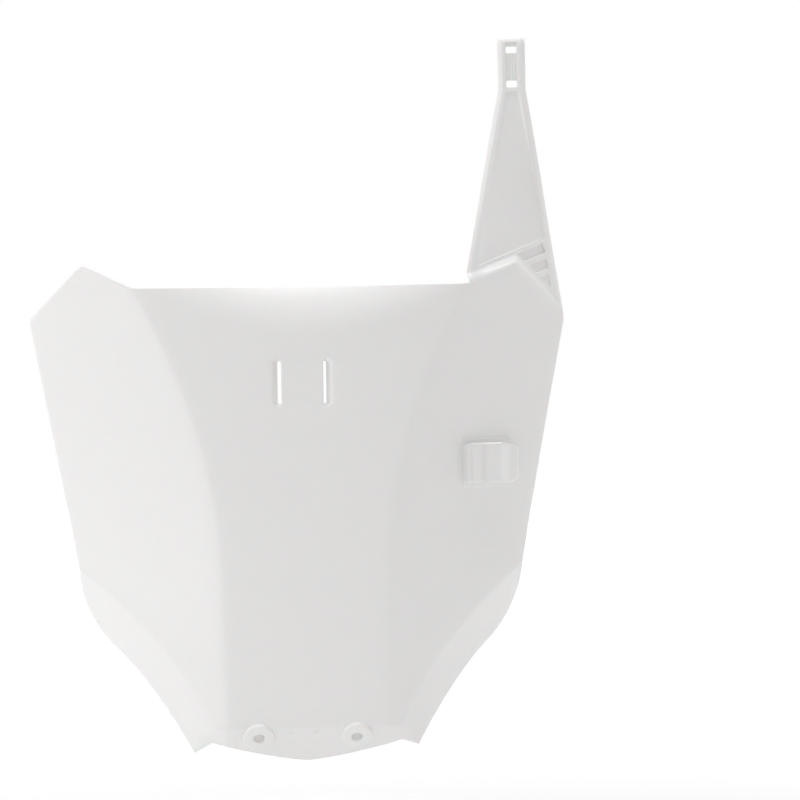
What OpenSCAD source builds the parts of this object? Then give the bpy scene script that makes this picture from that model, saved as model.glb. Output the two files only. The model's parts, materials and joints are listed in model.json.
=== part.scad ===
// Racing number board: a one-piece moulded front plate with two strap slots, two
// screw holes, a hose guide on one wing and a fixing arm behind one top corner.
// X runs to the viewer's right, Z up, and the face looks towards -Y.
// The origin is midway between the two screw holes, on the face of the bottom lip.

/* [Board] */
// Width across the two wings
board_w = 254.4; // [236:0.2:270]
// Height of the straight top edge above the screw holes
top_h = 210.8; // [200:0.2:222]
// Width of each wing beyond the straight top edge
wing_w = 48; // [42:0.2:54]
// Distance of each top peak in from the widest point
peak_in = 25; // [20:0.1:30]
// Height of each top peak above the straight edge
peak_rise = 9.3; // [5:0.1:14]
// Drop of the widest point below the straight edge
shoulder_drop = 15.6; // [10:0.1:24]
// Thickness of the moulded wall
wall = 2.2; // [1.8:0.1:3]
// Rounding of the outer rim
rim_r = 0.6; // [0.3:0.1:0.8]

/* [Face] */
// Sideways bow of the whole face, as a radius
bow_r = 600; // [450:10:1200]
// Backward slope of the wings, as depth over width
wing_slope = 0.5; // [0.3:0.01:0.6]
// Softness of the wing creases
crease_r = 1.6; // [0.8:0.1:3]
// Distance of the wing crease from the middle at the bottom bend
crease_low_x = 38; // [34:0.1:40]
// Height at which the wing crease starts to sweep outwards
crease_sweep_z = 79; // [70:1:110]
// Height of the rolled-back band at the middle of the top edge
roll_h = 24; // [16:0.5:32]
// Radius of the rolled-back band
roll_r = 32; // [24:1:60]

/* [Lip] */
// Height of the bottom bend above the screw holes
bend_z = 4.2; // [3.4:0.1:5.4]
// Backward angle of the bottom lip
lip_angle = 41; // [30:0.5:48]
// Drop of the middle of the bottom edge below the screw holes
tip_drop = 12.3; // [10:0.1:15]
// Distance from the middle to the end of the bottom lip
mitre_x = 44.6; // [42:0.1:46]
// Drop of the ends of the bottom lip below its bend
mitre_drop = 7; // [5:0.1:8]
// Backward slope of the side lips, as depth over width
side_lip_slope = 0.8; // [0.5:0.02:1.1]
// Width of the side lips at their lower ends
side_lip_w = 8.3; // [6:0.1:10]
// Drop of the lower corners of the side lips below the bottom bend
corner_drop = 9.4; // [8:0.1:11]
// Distance of the upper end of each side lip in from the widest point
lip_in = 22.2; // [18:0.1:26]
// Height of the upper end of each side lip
lip_start_z = 78.5; // [72:0.5:84]

/* [Strap slots] */
// Distance between the middles of the two slots
slot_pitch = 23.4; // [20:0.1:40]
// Height of the middle of the slots
slot_z = 165.4; // [140:0.2:172]
// Overall length of a slot
slot_l = 22; // [14:0.5:28]
// Width of a slot
slot_w = 3.8; // [3:0.1:6]
// Depth of the strap seat between the slots
seat_d = 0.5; // [0.3:0.1:0.9]

/* [Screw holes] */
// Distance between the two screw holes
screw_pitch = 45.8; // [40:0.1:56]
// Diameter of each screw hole
screw_d = 5.3; // [4.2:0.1:6.4]
// Diameter of the boss round each hole
boss_d = 15; // [11:0.2:17]
// Height of the boss above the lip
boss_h = 0.9; // [0.5:0.1:1.5]

/* [Hose guide] */
// Distance of the guide in from the widest point
guide_in = 39.6; // [35:0.2:46]
// Height of the guide
guide_z = 126.4; // [110:0.2:150]
// Width of the pad round the guide
pad_w = 24; // [22:0.2:28]
// Height of the pad round the guide
pad_h = 24; // [22:0.2:30]
// Width of the hook, along the hose
hook_h = 18.6; // [12:0.2:19]
// Reach of the hook from its root to its free end
hook_reach = 29; // [26:0.2:31]
// Room for the hose under the hook
hook_gap = 5.2; // [4.4:0.1:7]
// Thickness of the hook
hook_t = 2; // [1.6:0.1:2.6]

/* [Fixing arm] */
// Distance of the arm's tip in from the widest point
arm_in = 24.4; // [20:0.1:28]
// Height of the arm's tip above the straight top edge
arm_rise = 116; // [100:0.5:130]
// Width of the arm's parallel end
arm_end_w = 13.2; // [11:0.1:15]
// Length of the arm's parallel end
arm_end_l = 24.7; // [22:0.1:28]
// Thickness of the arm
arm_t = 3.2; // [2.8:0.1:4]
// Distance of the arm behind the face at the peak
arm_back = 7; // [5:0.1:10]
// Width of the bevel along the arm's edges
arm_bevel = 2.2; // [1.4:0.1:2.6]
// Depth of the sunk panels in the arm
sunk_d = 0.8; // [0.4:0.1:1.1]
// Length of the sunk end with its two holes
eye_l = 21; // [18:0.1:21.5]
// Width of the sunk end with its two holes
eye_w = 5.2; // [4:0.1:7]
// Length of each hole in the arm's end
eye_hole_l = 3; // [2.4:0.1:4]

/* [Hidden] */

// Steps of the face: top band, wing side, side lip, middle, wing, lip width
band_steps = 5;
side_steps = 10;
lip_steps = 10;
middle_steps = 6;
wing_steps = 6;
lip_rows = 4;

// Width of the narrow band of faces beside each crease and edge
band = 1.5;
// Distance over which slopes are measured
probe = 0.4;
// How far solids reach into each other, and how far cuts overshoot
sink = 0.6;
over = 20;

// The named points of the outline, seen from the front
wide = board_w / 2;
notch = [wide - wing_w, top_h];
peak = [wide - peak_in, top_h + peak_rise];
shoulder = [wide, top_h - shoulder_drop];
lip_start = [wide - lip_in, lip_start_z];
guide_x = wide - guide_in;
arm_x = wide - arm_in;

// The wing crease leans outwards, and its sweep follows this power of the height
crease_lean = 0.02;
sweep_power = 1.9;

// The crease of the side lip leaves the mitre at this lean and curves out to the lip's start
lip_lean = 0.37;
lip_h = lip_start_z - bend_z;
lip_curve = (lip_start.x - mitre_x - lip_lean * lip_h) / pow(lip_h, 2);
lip_row_power = 1.3;

// The free edge of the side lip is drawn in its upper and lower parts towards two points
high_in = lip_in * 0.04;
high_drop = lip_h * 0.31;
low_out = side_lip_w * 2.3;
low_rise = lip_h * 0.43;
lip_pull_high = lip_start - [high_in, high_drop];
lip_corner = [mitre_x + side_lip_w, bend_z - corner_drop];
lip_pull_low = lip_corner + [low_out, low_rise];
junction = [mitre_x, bend_z - mitre_drop];
// The bottom edge rises from its tip by this power of the distance
tip_power = 1.35;

bottom_slope = tan(lip_angle);
// The face lies in front of the screw holes by the lip's depth and by its own bow
face_y = -bend_z * bottom_slope - pow(screw_pitch / 2, 2) / (2 * bow_r);
sweep = notch.x - crease_low_x - crease_lean * (top_h - bend_z);

last_row = band_steps + side_steps + lip_steps;
lip_row = band_steps + side_steps;

function lerp(a, b, t) = a + (b - a) * t;
function unit(v) = v / norm(v);
function smooth(t) = let (u = min(1, max(0, t))) u * u * (3 - 2 * u);
function ramp(d) = (d + sqrt(d * d + crease_r * crease_r)) / 2;
function pull(a, b, c, t) = lerp(lerp(a, b, t), lerp(b, c, t), t);

// Where the wing crease and the lip crease lie at a height
function crease_x(z) =
    crease_low_x + crease_lean * (z - bend_z)
    + sweep * pow(max(0, z - crease_sweep_z) / (top_h - crease_sweep_z), sweep_power);
function lip_x(z) = mitre_x + lip_lean * (z - bend_z) + lip_curve * pow(z - bend_z, 2);

// How far the rolled-back band has turned away from the face
function roll(x, z) =
    let (start = top_h - roll_h * (1 - pow(x / notch.x, 2)))
    pow(max(0, z - start), 2) / (2 * roll_r);

// Depth of the face, and of the two kinds of lip
function face(x, z) =
    face_y + x * x / (2 * bow_r) + wing_slope * ramp(abs(x) - crease_x(z)) + roll(x, z);
function side_lip(x, z) = face(x, z) + side_lip_slope * max(0, abs(x) - lip_x(z));
function bottom_lip(x, z) = face(x, z) + bottom_slope * (bend_z - z);

function slope_x(x, z) = (face(x + probe, z) - face(x - probe, z)) / (2 * probe);
function slope_z(x, z) = (face(x, z + probe) - face(x, z - probe)) / (2 * probe);
function face_normal(p) = unit([-slope_x(p.x, p[2]), 1, -slope_z(p.x, p[2])]);

// Rows of the face, from the top edge to the bottom bend
function row_z(i) =
    i <= band_steps ? top_h - roll_h * i / band_steps
    : i <= lip_row ? lerp(top_h - roll_h, lip_start_z, (i - band_steps) / side_steps)
    : i < last_row ? lerp(lip_start_z, bend_z + band, pow((i - lip_row) / (lip_steps - 1), lip_row_power))
    : bend_z;
function row_end(i) =
    i <= band_steps ? lerp(peak, shoulder, i / band_steps)
    : i <= lip_row ? lerp(shoulder, lip_start, (i - band_steps) / side_steps)
    : [lip_x(row_z(i)), row_z(i)];
function half_row(i) =
    let (
        z = row_z(i),
        crease = [crease_x(z), z],
        end = row_end(i),
        step = unit(end - crease) * band
    )
    concat(
        [for (j = [0:middle_steps]) [(crease.x - band) * j / middle_steps, z]],
        [crease],
        [for (j = [0:wing_steps - 1]) lerp(crease + step, end - step, j / (wing_steps - 1))],
        [end]
    );
function full_row(i) =
    let (half = half_row(i))
    concat(
        [for (j = [len(half) - 1:-1:1]) [-half[j].x, half[j].y]],
        half
    );
function at_depth(p) = [p.x, face(p.x, p.y), p.y];
face_rows = [for (i = [0:last_row]) [for (p = full_row(i)) at_depth(p)]];
cols = len(face_rows[0]);

// The crease path runs down one side, along the bottom bend and up the other side
function face_id(i, j) = i * cols + j;
path = concat(
    [for (i = [lip_row:last_row]) face_id(i, cols - 1)],
    [for (j = [cols - 2:-1:0]) face_id(last_row, j)],
    [for (i = [last_row - 1:-1:lip_row]) face_id(i, 0)]
);
path_end = len(path) - 1;
face_points = [for (row = face_rows) each row];

// The free edge of the lip beside a point of the path
function side_edge(t) =
    let (middle = (lip_pull_high + lip_pull_low) / 2)
    t < 0.5 ? pull(lip_start, lip_pull_high, middle, 2 * t)
    : pull(middle, lip_pull_low, lip_corner, 2 * t - 1);
function bottom_edge(x) =
    let (e = x * junction.x / mitre_x)
    [e, lerp(-tip_drop, junction.y, pow(abs(e) / junction.x, tip_power))];
function on_side(p) = min(p, path_end - p) < lip_steps;
function lip_edge(p) =
    let (
        step = min(p, path_end - p),
        base = face_points[path[p]],
        edge = side_edge(step / (lip_steps - 1))
    )
    on_side(p) ? [sign(base.x) * edge.x, edge.y] : bottom_edge(base.x);

// Points across the lip, close together beside the crease and the free edge
function lip_point(p, k) =
    let (
        base = face_points[path[p]],
        start = [base.x, base[2]],
        edge = lip_edge(p),
        width = norm(edge - start),
        share = [0, band / width, 0.5, 1 - band / width, 1][k],
        q = lerp(start, edge, share)
    )
    (p == 0 || p == path_end || k == 0) ? base
    : [q.x, on_side(p) ? side_lip(q.x, q.y) : bottom_lip(q.x, q.y), q.y];
function upright(n) = n.y < 0 ? -n : n;
function lip_normal(p, k) =
    let (
        along = lip_point(p + 1, k) - lip_point(p - 1, k),
        across = lip_point(p, k) - lip_point(p, k - 1)
    )
    upright(unit(cross(along, across)));

lip_points = [for (p = [1:path_end - 1]) for (k = [1:lip_rows]) lip_point(p, k)];
function lip_id(p, k) =
    (k == 0 || p == 0 || p == path_end) ? path[p]
    : len(face_points) + (p - 1) * lip_rows + k - 1;

// Wall directions: square to the face, to the lip, and halfway at their crease
function wall_dir(id) =
    let (
        n = face_normal(face_points[id]),
        hit = search(id, path),
        p = len(hit) > 0 ? hit[0] : 0
    )
    (p < 1 || p >= path_end) ? n
    : let (m = unit(n + lip_normal(p, 1))) m / (m * n);
shell_points = concat(face_points, lip_points);
shell_dirs = concat(
    [for (id = [0:len(face_points) - 1]) wall_dir(id)],
    [for (p = [1:path_end - 1]) for (k = [1:lip_rows]) lip_normal(p, k)]
);

// The rim is the loop of points along the outer edge, clockwise from the front
loop = concat(
    [for (j = [0:cols - 1]) face_id(0, j)],
    [for (i = [1:lip_row]) face_id(i, cols - 1)],
    [for (p = [1:path_end - 1]) lip_id(p, lip_rows)],
    [for (i = [lip_row:-1:1]) face_id(i, 0)]
);
loop_len = len(loop);
function out_dir(m) =
    let (
        here = loop[m],
        next = shell_points[loop[(m + 1) % loop_len]],
        back = shell_points[loop[(m + loop_len - 1) % loop_len]]
    )
    unit(cross(unit(next - back), unit(shell_dirs[here])));

// A closed solid needs every quad as two triangles, without the empty ones
function split(q) =
    [for (t = [[q[0], q[1], q[2]], [q[0], q[2], q[3]]])
        if (t[0] != t[1] && t[1] != t[2] && t[0] != t[2]) t];
function turn(q) = [q[3], q[2], q[1], q[0]];

module shell() {
    count = len(shell_points);
    rim_outs = [for (m = [0:loop_len - 1]) out_dir(m)];
    front = [
        for (id = [0:count - 1])
            let (hit = search(id, loop))
            shell_points[id] - (len(hit) > 0 ? rim_outs[hit[0]] * rim_r : [0, 0, 0])
    ];
    back = [for (id = [0:count - 1]) front[id] + shell_dirs[id] * wall];
    rim = [
        for (depth = [rim_r, wall - rim_r])
            for (m = [0:loop_len - 1])
                shell_points[loop[m]] + shell_dirs[loop[m]] * depth
    ];
    quads = concat(
        [for (i = [0:last_row - 1]) for (j = [0:cols - 2])
            [face_id(i, j), face_id(i, j + 1), face_id(i + 1, j + 1), face_id(i + 1, j)]],
        [for (p = [0:path_end - 1]) for (k = [0:lip_rows - 1])
            [lip_id(p, k), lip_id(p, k + 1), lip_id(p + 1, k + 1), lip_id(p + 1, k)]]
    );
    rings = [
        loop,
        [for (m = [0:loop_len - 1]) 2 * count + m],
        [for (m = [0:loop_len - 1]) 2 * count + loop_len + m],
        [for (id = loop) id + count]
    ];
    rim_quads = [
        for (r = [0:2]) for (m = [0:loop_len - 1])
            let (n = (m + 1) % loop_len)
            [rings[r][n], rings[r][m], rings[r + 1][m], rings[r + 1][n]]
    ];
    faces = concat(
        [for (q = quads) each split(q)],
        [for (q = quads) each split(turn(q) + [count, count, count, count])],
        [for (q = rim_quads) each split(q)]
    );
    polyhedron(concat(front, back, rim), faces, convexity = 8);
}

// A slab between rows of front points and rows of back points
module grid_slab(front, back) {
    rows = len(front);
    width = len(front[0]);
    count = rows * width;
    edge = concat(
        [for (j = [0:width - 1]) j],
        [for (i = [1:rows - 1]) i * width + width - 1],
        [for (j = [width - 2:-1:0]) (rows - 1) * width + j],
        [for (i = [rows - 2:-1:1]) i * width]
    );
    quads = [
        for (i = [0:rows - 2]) for (j = [0:width - 2])
            [i * width + j, i * width + j + 1, (i + 1) * width + j + 1, (i + 1) * width + j]
    ];
    sides = [
        for (m = [0:len(edge) - 1])
            let (n = (m + 1) % len(edge))
            [edge[n], edge[m], edge[m] + count, edge[n] + count]
    ];
    faces = concat(
        [for (q = quads) each split(q)],
        [for (q = quads) each split(turn(q) + [count, count, count, count])],
        [for (q = sides) each split(q)]
    );
    polyhedron(
        concat([for (row = front) each row], [for (row = back) each row]),
        faces,
        convexity = 6
    );
}

module slot_cuts() {
    reach = slot_l / 2 - slot_w / 2;
    for (side = [-1, 1])
        translate([side * slot_pitch / 2, face_y, slot_z])
            rotate([90, 0, 0]) {
                for (end = [-reach, reach])
                    translate([0, end, -over])
                        cylinder(d = slot_w, h = 2 * over, $fn = 32);
                translate([-slot_w / 2, -reach, -over])
                    cube([slot_w, 2 * reach, 2 * over]);
            }
    translate([-slot_pitch / 2, face_y - over, slot_z - slot_l / 2])
        cube([slot_pitch, over + seat_d, slot_l + band]);
}

module at_screws() {
    for (side = [-1, 1])
        translate([side * screw_pitch / 2, bottom_lip(screw_pitch / 2, 0), 0])
            rotate([90 + lip_angle, 0, 0])
                children();
}

module screw_bosses() {
    at_screws()
        translate([0, 0, -wall + sink / 2])
            cylinder(d = boss_d, h = wall + boss_h - sink / 2, $fn = 64);
}

module screw_cuts() {
    at_screws()
        translate([0, 0, -over / 2])
            cylinder(d = screw_d, h = over, $fn = 48);
}

// The guide sits square on the wing, its own X along the wing towards the edge
module at_guide() {
    translate([guide_x, face(guide_x, guide_z), guide_z])
        rotate([-atan(slope_z(guide_x, guide_z)), 0, atan(slope_x(guide_x, guide_z))])
            children();
}

// The wing is steep here, so the pad is longer along the wing than it looks from the front
guide_w = pad_w / cos(atan(slope_x(guide_x, guide_z)));
pad_rise = wall * 0.3;
// The window leaves a rim of the pad all round
window_rim = wall * 1.4;
window_w = guide_w - 2 * window_rim;
window_h = hook_h - sink;

module guide_pad() {
    at_guide()
        translate([-guide_w / 2, -pad_rise, -pad_h / 2])
            cube([guide_w, pad_rise + wall - sink / 2, pad_h]);
}

module guide_window() {
    at_guide()
        translate([-window_w / 2, -over / 2, -window_h / 2])
            cube([window_w, over, window_h]);
}

// The hook's shape along its reach: a ridge over its root, a shallow valley, the crown over
// the hose, a dip and a flared free end. Each knot is a share of the reach, and the share of
// the room for the hose that the hook stands off there.
hook_knots = [[0, 0.3], [0.15, 0.62], [0.32, 0.5], [0.56, 1], [0.86, 0.75], [1, 0.85]];
// Its free end is narrower than its root by this much on each side
hook_chamfer = hook_h * 0.13;

function hook_wave(u, k = 1) =
    let (a = hook_knots[k - 1], b = hook_knots[k], s = u / hook_reach)
    (s <= b[0] || k == len(hook_knots) - 1)
    ? hook_t + hook_gap * lerp(a[1], b[1], smooth((s - a[0]) / (b[0] - a[0])))
    : hook_wave(u, k + 1);

module guide_hook() {
    steps = 24;
    top = [for (i = [0:steps])
        let (u = lerp(hook_t / 2, hook_reach, i / steps)) [u, hook_wave(u)]];
    under = [for (i = [steps:-1:0])
        let (u = lerp(hook_t * 1.6, hook_reach, i / steps)) [u, hook_wave(u) - hook_t]];
    root = [[hook_t * 1.9, sink - wall], [0, sink - wall], [0, hook_gap / 2]];
    at_guide()
        translate([-guide_w / 2, 0, 0])
            intersection() {
                mirror([0, 1, 0])
                    linear_extrude(height = hook_h, center = true)
                        polygon(concat(top, under, root));
                rotate([90, 0, 0])
                    linear_extrude(height = 2 * over, center = true)
                        polygon([
                            [-over, -hook_h / 2],
                            [hook_reach - 2 * hook_chamfer, -hook_h / 2],
                            [hook_reach, hook_chamfer - hook_h / 2],
                            [hook_reach, hook_h / 2 - hook_chamfer],
                            [hook_reach - 2 * hook_chamfer, hook_h / 2],
                            [-over, hook_h / 2]
                        ]);
            }
}

// The arm starts above the corner, set back behind it, and rises to its eye
foot_rise = arm_back * 0.64;
arm_left = notch + [-wall / 2, foot_rise + sink];
arm_apex = peak + [sink, foot_rise];
arm_right = shoulder + [-wall / 2, foot_rise - sink];
arm_top_z = top_h + arm_rise;
neck_z = arm_top_z - arm_end_l;
arm_cols = 5;
neck_rows = 10;
// How far the bevel takes the arm's edge back
bevel_drop = arm_t * 0.45;
// Sideways slope of the arm at its foot and at its tip, and its backward lean
arm_slope_low = 0.72;
arm_slope_high = 0.1;
arm_lean = 0.06;
arm_y = face(peak.x, peak.y) + arm_back;

function arm_slope(z) =
    lerp(arm_slope_low, arm_slope_high, smooth((z - arm_apex.y) / (neck_z - arm_apex.y)));
function arm_face(x, z) = arm_y + arm_lean * (z - peak.y) + arm_slope(z) * (x - arm_x);
// Points across the arm, as shares of the way from either edge to the middle: the bevel
// first, and the rest evenly
arm_last = 2 * arm_cols - 2;
function share_of(j, length) =
    let (bevel = arm_bevel / length)
    j == 0 ? 0 : lerp(bevel, 1, (j - 1) / (arm_cols - 2));
function arm_foot(j) =
    j < arm_cols ? lerp(arm_left, arm_apex, share_of(j, norm(arm_apex - arm_left)))
    : lerp(arm_right, arm_apex, share_of(arm_last - j, norm(arm_apex - arm_right)));
function arm_neck(j, z) =
    let (half = arm_end_w / 2, side = j < arm_cols ? -1 : 1)
    [arm_x + side * half * (1 - share_of(min(j, arm_last - j), half)), z];
function arm_row(i) =
    i <= neck_rows
    ? [for (j = [0:arm_last]) lerp(arm_foot(j), arm_neck(j, neck_z), i / neck_rows)]
    : [for (j = [0:arm_last]) arm_neck(j, lerp(neck_z, arm_top_z - arm_bevel, i - neck_rows))];
// The end is rounded by drawing its last row in
tip_taper = 0.3;
function arm_tip() =
    [for (j = [0:arm_last])
        let (p = arm_neck(j, arm_top_z)) [lerp(p.x, arm_x, tip_taper), p.y]];
function arm_bevel_at(j) = (j == 0 || j == arm_last) ? bevel_drop : 0;

module arm_plate() {
    rows = concat([arm_tip()], [for (i = [neck_rows + 1:-1:0]) arm_row(i)]);
    front = [
        for (i = [0:len(rows) - 1]) [
            for (j = [0:len(rows[i]) - 1])
                let (p = rows[i][j], cut = i == 0 ? bevel_drop : arm_bevel_at(j))
                [p.x, arm_face(p.x, p.y) + cut, p.y]
        ]
    ];
    back = [for (row = rows) [for (p = row) [p.x, arm_face(p.x, p.y) + arm_t, p.y]]];
    grid_slab(front, back);
}

// A sunk panel follows the arm's face between four corners, top left first
module sunk_panel(corners, rows) {
    grid = [
        for (i = [0:rows]) [
            for (j = [0:3])
                lerp(
                    lerp(corners[0], corners[3], i / rows),
                    lerp(corners[1], corners[2], i / rows),
                    j / 3
                )
        ]
    ];
    grid_slab(
        [for (row = grid) [for (p = row) [p.x, arm_face(p.x, p.y) - over / 4, p.y]]],
        [for (row = grid) [for (p = row) [p.x, arm_face(p.x, p.y) + sunk_d, p.y]]]
    );
}

// The panels keep this much of the arm's face as their rim
panel_rim = arm_bevel * 1.7;

module arm_panels() {
    low_left = arm_left + [panel_rim * 1.5, panel_rim * 0.8];
    low_right = [arm_right.x - panel_rim * 2.2, arm_apex.y + panel_rim * 2.1];
    neck_half = eye_w / 2;
    sunk_panel([[arm_x - neck_half, neck_z], [arm_x + neck_half, neck_z], low_right, low_left], 12);
    // Three pockets between the foot of the arm and its outer flank
    foot_a = arm_apex + [panel_rim * 0.6, 0];
    foot_b = arm_right + [-panel_rim, panel_rim * 2];
    flank_a = low_right + [0, -panel_rim * 0.8];
    for (ends = [[0, 0.25], [0.36, 0.58], [0.68, 0.98]])
        sunk_panel(
            [
                lerp(foot_a, foot_b, ends[0]), lerp(flank_a, foot_b, ends[0]),
                lerp(flank_a, foot_b, ends[1]), lerp(foot_a, foot_b, ends[1])
            ],
            2
        );
}

module arm_eye_cuts() {
    top = arm_top_z - wall;
    y = arm_face(arm_x, top - eye_l / 2);
    // The sunk end, then its two holes
    translate([arm_x - eye_w / 2, y - over / 4, top - eye_l])
        cube([eye_w, over / 4 + sunk_d, eye_l]);
    for (z = [top - eye_hole_l * 1.6, top - eye_l])
        translate([arm_x - eye_w / 2, y - over, z])
            cube([eye_w, 2 * over, eye_hole_l]);
}

// The step wall joins the corner of the board to the foot of the arm, column by column
module arm_step() {
    left_in = unit([peak.y - notch.y, notch.x - peak.x]);
    right_in = unit([shoulder.y - peak.y, peak.x - shoulder.x]);
    function on_left(j) = j < arm_cols;
    function inward(j) = on_left(j) ? left_in : right_in;
    function corner_edge(j) =
        on_left(j) ? lerp(notch, peak, share_of(j, norm(arm_apex - arm_left)))
        : lerp(shoulder, peak, share_of(arm_last - j, norm(arm_apex - arm_right)));
    function in_arm(p, depth) = [p.x, arm_face(p.x, p.y) + depth, p.y];
    function in_board(p, depth) = [p.x, face(p.x, p.y) + depth, p.y];
    columns = [0:arm_last];
    upper = [
        [for (j = columns) in_arm(arm_foot(j) - inward(j) * sink, arm_bevel_at(j) + sink / 2)],
        [for (j = columns) in_board(corner_edge(j) + inward(j) * sink, sink)]
    ];
    lower = [
        [for (j = columns) in_arm(arm_foot(j) - inward(j) * sink, arm_t - sink / 2)],
        [for (j = columns) in_board(corner_edge(j) + inward(j) * wall, wall - sink)]
    ];
    grid_slab(upper, lower);
}

module number_board() {
    color("whitesmoke")
        difference() {
            union() {
                difference() {
                    union() {
                        shell();
                        guide_pad();
                    }
                    slot_cuts();
                    guide_window();
                }
                screw_bosses();
                guide_hook();
                arm_step();
                difference() {
                    arm_plate();
                    arm_panels();
                    arm_eye_cuts();
                }
            }
            screw_cuts();
        }
}

number_board();
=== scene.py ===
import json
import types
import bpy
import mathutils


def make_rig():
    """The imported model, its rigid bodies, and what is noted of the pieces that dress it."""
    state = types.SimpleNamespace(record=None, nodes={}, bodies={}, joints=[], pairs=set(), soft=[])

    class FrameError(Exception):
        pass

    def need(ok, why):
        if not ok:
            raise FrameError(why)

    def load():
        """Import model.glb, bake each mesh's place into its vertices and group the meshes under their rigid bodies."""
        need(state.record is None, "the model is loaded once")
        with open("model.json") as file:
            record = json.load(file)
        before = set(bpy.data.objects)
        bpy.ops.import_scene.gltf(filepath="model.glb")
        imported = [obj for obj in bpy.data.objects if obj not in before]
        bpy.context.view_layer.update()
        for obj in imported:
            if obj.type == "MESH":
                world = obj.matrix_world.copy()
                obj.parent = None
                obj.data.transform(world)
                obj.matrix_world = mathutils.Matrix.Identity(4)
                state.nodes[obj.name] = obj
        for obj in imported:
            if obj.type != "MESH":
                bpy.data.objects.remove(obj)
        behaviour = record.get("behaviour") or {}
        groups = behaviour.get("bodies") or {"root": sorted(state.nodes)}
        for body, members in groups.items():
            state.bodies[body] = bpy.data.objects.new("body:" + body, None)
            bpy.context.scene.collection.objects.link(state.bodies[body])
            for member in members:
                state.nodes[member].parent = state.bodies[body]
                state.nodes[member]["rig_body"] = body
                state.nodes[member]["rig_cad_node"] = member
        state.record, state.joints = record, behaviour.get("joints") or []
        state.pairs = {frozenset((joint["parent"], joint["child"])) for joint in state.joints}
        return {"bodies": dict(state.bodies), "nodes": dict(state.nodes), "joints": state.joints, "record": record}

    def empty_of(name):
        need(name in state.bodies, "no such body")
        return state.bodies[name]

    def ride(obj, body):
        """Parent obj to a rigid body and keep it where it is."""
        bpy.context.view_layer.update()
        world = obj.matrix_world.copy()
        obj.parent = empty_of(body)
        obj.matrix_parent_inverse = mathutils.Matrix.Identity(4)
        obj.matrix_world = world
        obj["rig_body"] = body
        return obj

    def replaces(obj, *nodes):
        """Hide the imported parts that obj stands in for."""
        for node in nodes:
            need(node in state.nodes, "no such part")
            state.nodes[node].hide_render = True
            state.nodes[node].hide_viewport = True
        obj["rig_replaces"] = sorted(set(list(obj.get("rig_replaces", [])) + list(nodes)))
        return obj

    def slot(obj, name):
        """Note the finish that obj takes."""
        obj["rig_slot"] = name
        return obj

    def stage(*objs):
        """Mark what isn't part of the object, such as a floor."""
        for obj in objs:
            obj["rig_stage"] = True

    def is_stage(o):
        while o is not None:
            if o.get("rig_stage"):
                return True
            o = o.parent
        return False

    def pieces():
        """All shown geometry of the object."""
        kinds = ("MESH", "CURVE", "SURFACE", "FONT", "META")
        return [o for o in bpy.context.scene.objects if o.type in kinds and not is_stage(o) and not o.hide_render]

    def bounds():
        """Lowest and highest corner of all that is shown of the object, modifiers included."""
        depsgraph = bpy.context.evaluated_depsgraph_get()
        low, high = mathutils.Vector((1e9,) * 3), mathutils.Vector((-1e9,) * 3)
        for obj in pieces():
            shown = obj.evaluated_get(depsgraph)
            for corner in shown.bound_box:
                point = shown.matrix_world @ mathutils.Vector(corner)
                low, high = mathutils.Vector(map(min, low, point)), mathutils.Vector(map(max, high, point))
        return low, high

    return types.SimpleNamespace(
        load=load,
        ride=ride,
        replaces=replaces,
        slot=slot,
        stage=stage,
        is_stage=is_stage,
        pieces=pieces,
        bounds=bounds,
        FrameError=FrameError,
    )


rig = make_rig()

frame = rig.load()
cad_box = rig.bounds()

# %% [markdown]
# A racing number board is one moulding of white polypropylene: a face with two swept-back
# wings, a lip round its lower edge, two slots for a strap, two screw bosses, a guide for the
# brake hose, and an arm that rises behind one top corner. It is a thin wall all over, so it
# is modelled as a moulder thinks of it: one sheet is shaped first, then it gets its
# thickness, then the small features are joined to it and cut from it.
# %% Units, helpers and the sizes that the frame gives
import json
import math

import bmesh
import bpy
from mathutils import Vector

MM = 0.001
CAD_LOW, CAD_HIGH = (Vector(corner) for corner in cad_box)


def lerp(a, b, t):
    """The value a share t of the way from a to b."""
    return a + (b - a) * t


def lerp2(a, b, t):
    """The same for a point with two coordinates."""
    return (lerp(a[0], b[0], t), lerp(a[1], b[1], t))


def smooth(t):
    """Rises from 0 to 1 as t does, with a soft start and end."""
    t = min(1.0, max(0.0, t))
    return t * t * (3 - 2 * t)


def select_only(*objects):
    """Selects these objects alone and makes the first one active."""
    bpy.ops.object.select_all(action="DESELECT")
    for obj in objects:
        obj.select_set(True)
    bpy.context.view_layer.objects.active = objects[0]


print(f"the solid is {(CAD_HIGH.x - CAD_LOW.x) / MM:.1f} mm wide")

# %% [markdown]
# The photograph was taken almost straight on with a long lens, so the camera stands 2.5 m
# away. It looks from three and a half degrees to the left of the face and is rolled by one
# degree, which is read from the slope of the line through the two screw holes.
# %% The camera
bpy.context.scene.view_settings.view_transform = "Standard"
CAMERA_TURN = math.radians(-3.55)
CAMERA_RISE = math.radians(0.45)
CAMERA_TILT = math.radians(0.96)
CAMERA_DISTANCE = 2.5
CAMERA_TARGET = Vector((0.0467, 0.012, 0.1564))
FRAME_WIDTH = 0.3756
SENSOR_WIDTH = 36.0
FARTHEST_SEEN = 50.0

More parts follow.
